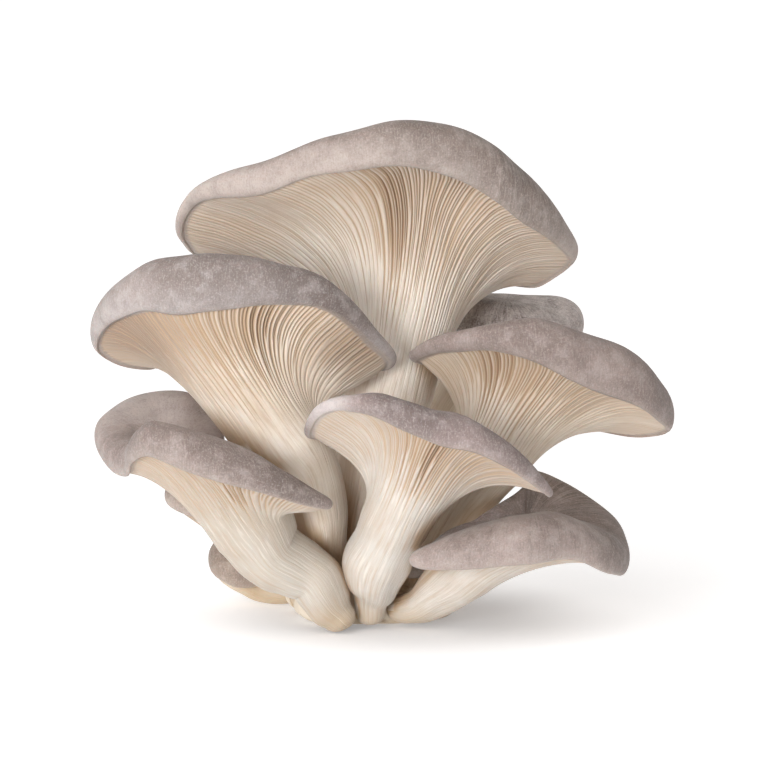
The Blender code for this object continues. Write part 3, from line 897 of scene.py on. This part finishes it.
frontMushroom = {
    "gills": 152,
    "stemRows": 34,
    "gillRows": 54,
    "topRows": 28,
    "seed": 44,
    "groove": 0.95,
    "neck": 0.7,
    "flare": 0.5,
    "bulge": 5,
    "stem": [
        (-0.9, -12.6, 4.2, 4.2), (-0.6, -13.2, 8, 5), (0.2, -14, 11, 6.5), (0.6, -15.4, 15, 8),
        (1.6, -17.2, 20.2, 9.2), (3.9, -19.4, 26, 8.8), (6.4, -22, 31.8, 9.6),
    ],
    "rim": [
        (47.5, -36, 41, 3.9), (38, -20, 45, 6.9), (22, -12, 50, 7.9), (4, -14, 54, 7.9),
        (-10, -20, 55, 6.9), (-16.6, -30, 56, 3.9), (-14, -38, 62.7, 4.7), (-7.5, -44, 66, 5.6),
        (3.5, -48, 63, 8.9), (16, -50, 58, 10.9), (30, -49, 54, 11.9), (41, -44, 47, 9.9),
    ],
    "crown": (8, -28, 57),
    "openAt": [(17, -50, 6, 0.85), (16, -50, 18, 0.42)],
    "look": {
        "dark": (0.2, 0.155, 0.145),
        "light": (0.3, 0.235, 0.225),
        "pale": (0.56, 0.51, 0.5),
        "shade": (0.11, 0.085, 0.08),
        "streak": 0.2,
        "darkStreak": 0.25,
        "fibres": 28,
        "band": 4,
        "bandShare": 0.3,
        "bandTone": (0.42, 0.36, 0.34),
        "paintedShadeSpots": [(40, -42, 56, 22, 0.4), (12, -46, 70, 20, 0.7)],
        "paintedLightSpots": [(-12, -40, 66, 13, 0.9)],
        "paintedUnderShade": [(29, -42, 46, 16, 0.45)],
        "body": (0.73, 0.75, 0.77),
        "under": 0.5,
        "rooty": 0.35,
    },
}
growMushroom("mushroom_front", frontMushroom)

lowerLeft = {
    "gills": 136,
    "stemRows": 36,
    "gillRows": 50,
    "topRows": 32,
    "seed": 55,
    "groove": 0.95,
    "neck": 0.6,
    "flare": 0.5,
    "bulge": 6,
    "stem": [
        (-9.2, -17.4, 4.2, 4.8), (-11.2, -17.4, 6.8, 6.1), (-13.4, -17.3, 11, 7.1),
        (-16.2, -17.3, 15.2, 7.7), (-21.8, -17.8, 18.8, 8.7), (-27.6, -18.8, 22.4, 9.8),
        (-32, -20, 29.5, 11.5),
    ],
    "rim": [
        (-12, -34, 37.5, 4.4), (-25, -23.5, 42.8, 5), (-40.5, -12, 46.6, 3.6), (-43.8, -1, 51.4, 4.8),
        (-51, 8.5, 55.5, 9.6), (-64.3, 13, 54.5, 10.4), (-74.8, 2, 50.2, 8.6), (-73.3, -10, 46, 8.8),
        (-66.5, -24, 44.3, 10), (-64, -34, 49.6, 10.2), (-59, -40, 52.4, 11), (-49, -44, 48.8, 12.9),
        (-36.5, -44, 45.5, 13.2), (-24, -41, 41.2, 11.4),
    ],
    "crown": (-56, -12, 51),
    "openAt": [(-38, -44, 6, 0.85), (-40, -44, 18, 0.42)],
    "look": {
        "dark": (0.21, 0.165, 0.15),
        "light": (0.32, 0.255, 0.235),
        "pale": (0.5, 0.44, 0.42),
        "shade": (0.11, 0.085, 0.075),
        "streak": 0.27,
        "darkStreak": 0.3,
        "fibres": 30,
        "band": 4,
        "bandShare": 0.4,
        "bandTone": (0.45, 0.39, 0.36),
        "paintedShadeSpots": [(-20, -42, 50, 26, 0.7)],
        "paintedLightSpots": [(-64, 6, 62, 22, 0.75), (-48, -6, 54, 17, 0.5)],
        "brushed": [(-62, 4, 58, 20, 0.45), (-36, -22, 54, 16, 0.4)],
        "body": (0.64, 0.64, 0.63),
        "under": 0.5,
        "rooty": 0.35,
    },
}
growMushroom("mushroom_lower_left", lowerLeft)

lowerRight = {
    "gills": 112,
    "stemRows": 32,
    "gillRows": 44,
    "topRows": 32,
    "seed": 66,
    "groove": 0.8,
    "neck": 0.4,
    "flare": 0.5,
    "bulge": 6.5,
    "stem": [
        (6.8, -8.1, 5, 3.7), (10.6, -10.2, 5.2, 4.7), (14.2, -12, 6.7, 5.4), (19.3, -14, 11, 6.9),
        (26, -16, 17, 8.3),
    ],
    "rim": [
        (69.2, -8, 19, 8), (64.3, 6, 26, 7), (53, 15, 31, 7.5), (46, 12, 33, 9), (43.4, 3.5, 31.4, 8),
        (38.6, -6, 29.6, 7), (33, -12, 27.4, 6), (22.5, -15, 24, 4.8), (11.8, -32.5, 21.6, 5),
        (16, -37, 21.1, 8.6), (30, -40, 22.2, 11.6), (44, -40, 23.8, 12.3), (55.5, -34, 23.2, 12),
        (65, -24, 17.8, 12.2), (69, -16, 16, 10.4),
    ],
    "crown": (42, -10, 30),
    "look": {
        "dark": (0.24, 0.19, 0.175),
        "light": (0.35, 0.285, 0.265),
        "pale": (0.5, 0.44, 0.41),
        "shade": (0.12, 0.095, 0.085),
        "streak": 0.25,
        "darkStreak": 0.45,
        "fibres": 28,
        "band": 4,
        "bandShare": 0.4,
        "bandTone": (0.46, 0.39, 0.36),
        "paintedShadeSpots": [(66, -16, 26, 24, 0.55), (40, -4, 34, 16, 0.35)],
        "brushed": [(56, 4, 34, 22, 0.7)],
        "body": (0.78, 0.79, 0.8),
        "under": 0.5,
        "rooty": 0.45,
    },
}
growMushroom("mushroom_lower_right", lowerRight)

backRight = {
    "gills": 80,
    "stemRows": 24,
    "gillRows": 34,
    "topRows": 34,
    "seed": 77,
    "groove": 0.8,
    "neck": 0.6,
    "flare": 0.5,
    "bulge": 5,
    "stem": [(12, 22, 9, 5), (15, 27, 28, 6), (19.5, 34, 48, 6.5), (27, 41, 61, 8)],
    "rim": [
        (60, 50, 74, 10), (55, 61, 74, 10), (39, 64, 75, 10), (26, 59, 76, 10), (19, 48, 77, 9),
        (25, 38, 76, 9), (39, 35, 73, 9), (55, 39, 72, 9),
    ],
    "crown": (39, 48, 85),
    "look": {
        "dark": (0.42, 0.365, 0.35),
        "light": (0.5, 0.45, 0.43),
        "pale": (0.68, 0.63, 0.61),
        "shade": (0.05, 0.036, 0.028),
        "streak": 0.4,
        "darkStreak": 0.4,
        "fibres": 26,
        "band": 4,
        "bandShare": 0.3,
        "bandTone": (0.4, 0.34, 0.31),
        "paintedShadeSpots": [(20, 38, 80, 14, 0.7)],
        "brushed": [(40, 44, 84, 22, 0.5)],
        "body": (0.9, 0.88, 0.84),
        "under": 0.5,
        "rooty": 0.3,
    },
}
growMushroom("mushroom_back_right", backRight)

backLeft = {
    "gills": 48,
    "stemRows": 20,
    "gillRows": 26,
    "topRows": 22,
    "seed": 88,
    "groove": 0.6,
    "neck": 0.6,
    "flare": 0.5,
    "bulge": 4,
    "stem": [(-15, 13, 9, 4.8), (-23, 12.5, 12.5, 5), (-35, 11, 21.5, 5.5)],
    "rim": [
        (-36, 12, 33, 5), (-42, 21, 34, 6), (-50, 19, 32, 6), (-56, 11, 31.5, 6), (-56, 3, 31, 6),
        (-49, -2, 29.5, 6), (-41, 2, 31, 6),
    ],
    "crown": (-46, 9, 41),
    "look": {
        "dark": (0.25, 0.2, 0.175),
        "light": (0.36, 0.3, 0.265),
        "pale": (0.55, 0.48, 0.44),
        "shade": (0.18, 0.14, 0.12),
        "streak": 0.3,
        "darkStreak": 0.3,
        "fibres": 18,
        "band": 4,
        "bandShare": 0.5,
        "bandTone": (0.5, 0.42, 0.37),
        "body": (0.5, 0.46, 0.42),
        "under": 0.5,
        "rooty": 0.3,
    },
}
growMushroom("mushroom_back_left", backLeft)

smallLeft = {
    "gills": 40,
    "stemRows": 26,
    "gillRows": 20,
    "topRows": 22,
    "seed": 99,
    "groove": 0.45,
    "neck": 0.5,
    "flare": 0.5,
    "bulge": 4,
    "stem": [(-14.5, 22.5, 8.5, 4), (-23, 21.2, 4.8, 4.3), (-31, 21.4, 4.7, 4.5), (-36.5, 22, 7, 4.4)],
    "rim": [
        (-29, 22, 9, 5), (-31, 31, 13, 5), (-38, 34, 13, 6), (-44.3, 27, 11, 7), (-44.6, 18, 8, 7),
        (-39, 12.8, 6.4, 7), (-32, 14.5, 6.6, 6),
    ],
    "crown": (-37.5, 22, 18.6),
    "look": {
        "dark": (0.22, 0.165, 0.135),
        "light": (0.32, 0.255, 0.215),
        "pale": (0.52, 0.45, 0.4),
        "shade": (0.16, 0.12, 0.1),
        "streak": 0.3,
        "darkStreak": 0.3,
        "fibres": 16,
        "band": 3,
        "bandShare": 0.4,
        "bandTone": (0.48, 0.39, 0.33),
        "body": (0.82, 0.79, 0.73),
        "under": 0.5,
        "rooty": 0.5,
    },
}
growMushroom("mushroom_small_left", smallLeft)

button = {
    "gills": 24,
    "stemRows": 12,
    "gillRows": 12,
    "topRows": 16,
    "seed": 13,
    "groove": 0.2,
    "neck": 0.4,
    "flare": 0.4,
    "bulge": 1.5,
    "stem": [(9, -1, 8.5, 2.8), (10, -2.8, 10.5, 3.1), (11.2, -4.8, 13, 3.2)],
    "rim": [
        (17, -5.8, 14.6, 3.6), (11.5, -0.6, 15, 3.6), (6, -5.8, 14.6, 3.6), (11.5, -10.8, 13.6, 3.6),
    ],
    "crown": (11.5, -5.8, 18.8),
    "look": {
        "dark": (0.34, 0.285, 0.25),
        "light": (0.46, 0.39, 0.34),
        "pale": (0.4, 0.36, 0.34),
        "shade": (0.1, 0.085, 0.08),
        "streak": 0.3,
        "darkStreak": 0.3,
        "fibres": 10,
        "band": 1.5,
        "bandShare": 0.3,
        "bandTone": (0.36, 0.31, 0.28),
        "body": (0.8, 0.78, 0.75),
        "under": 0.5,
        "rooty": 0.5,
    },
}
growMushroom("mushroom_button", button)


footShape = {
    "outline": [
        (24, 4), (23.5, 14), (20, 24), (12, 30.5), (0, 31.5), (-12, 32), (-21, 28), (-24.5, 18),
        (-22.4, 6), (-20, -3.4), (-15.4, -9), (-8, -9.5), (0, -9), (10, -8), (19, -4),
    ],
    # height in millimetres, and how much of the outline the foot fills there
    "levels": [
        (0, 0.001), (0, 0.5), (0, 0.88), (0.6, 0.93), (1.5, 0.96), (6, 1), (10, 0.95), (12.8, 0.82),
        (14.4, 0.5), (15, 0.001),
    ],
    "half": 25,
    "columns": 160,
    "rows": 70,
    "lumps": [(5, 7, 0.6), (2, 8, 0.18)],  # width, seed and height
    "lumpsFrom": (0.3, 3),  # from the flat cut, where they begin and are full
    "look": {"light": (0.76, 0.68, 0.57), "tan": (0.56, 0.42, 0.27), "dark": (0.3, 0.18, 0.09)},
}


def growFoot(shape):
    places = np.arange(shape["columns"]) / shape["columns"]
    plan = splineAt([(x, y, 0) for x, y in shape["outline"]], places, closed=True)
    middle, half = plan.mean(axis=0), shape["half"]
    levels = [(share * half, 0, z) for z, share in shape["levels"]]
    levels = np.maximum(splineAt(levels, np.linspace(0, 1, shape["rows"])), 0)
    grid = np.array([middle + (plan - middle) * (x / half) + (0, 0, z) for x, _, z in levels])
    out = unit((grid - grid.mean(axis=(0, 1))) * (1, 1, 2))
    lumps = sum(softNoise(grid, wide, seed) * high for wide, seed, high in shape["lumps"])
    grid = grid + out * (lumps * smoothStep(grid[:, :, 2], *shape["lumpsFrom"]))[..., None]
    grid[0], grid[-1] = grid[0].mean(axis=0), grid[-1].mean(axis=0)
    grid[:, :, 2] = np.maximum(grid[:, :, 2], 0)
    piece = rollSheet("foot", grid)
    closeSheet(piece, {"height": grid[:, :, 2]})

    r = Recipe("footFlesh")
    place = r.node("ShaderNodeTexCoord", out=3)
    look = shape["look"]
    tone = r.mix(r.within(r.noise(place, 120, 5), 0.35, 0.65), look["tan"], look["light"])
    tone = r.mix(r.within(r.noise(place, 320, 4), 0.55, 0.75) * 0.6, tone, look["dark"])
    relief = r.noise(place, 420, 5, 0.65)
    bump = r.node("ShaderNodeBump", sockets={"Strength": 0.6, "Distance": 0.0005, "Height": relief})
    r.feed(Base_Color=tone, Roughness=0.8, Normal=bump, Specular_IOR_Level=0.3)
    piece.data.materials.append(r.material)
    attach(piece, "root")
    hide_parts("foot")
    print("foot grown")


growFoot(footShape)
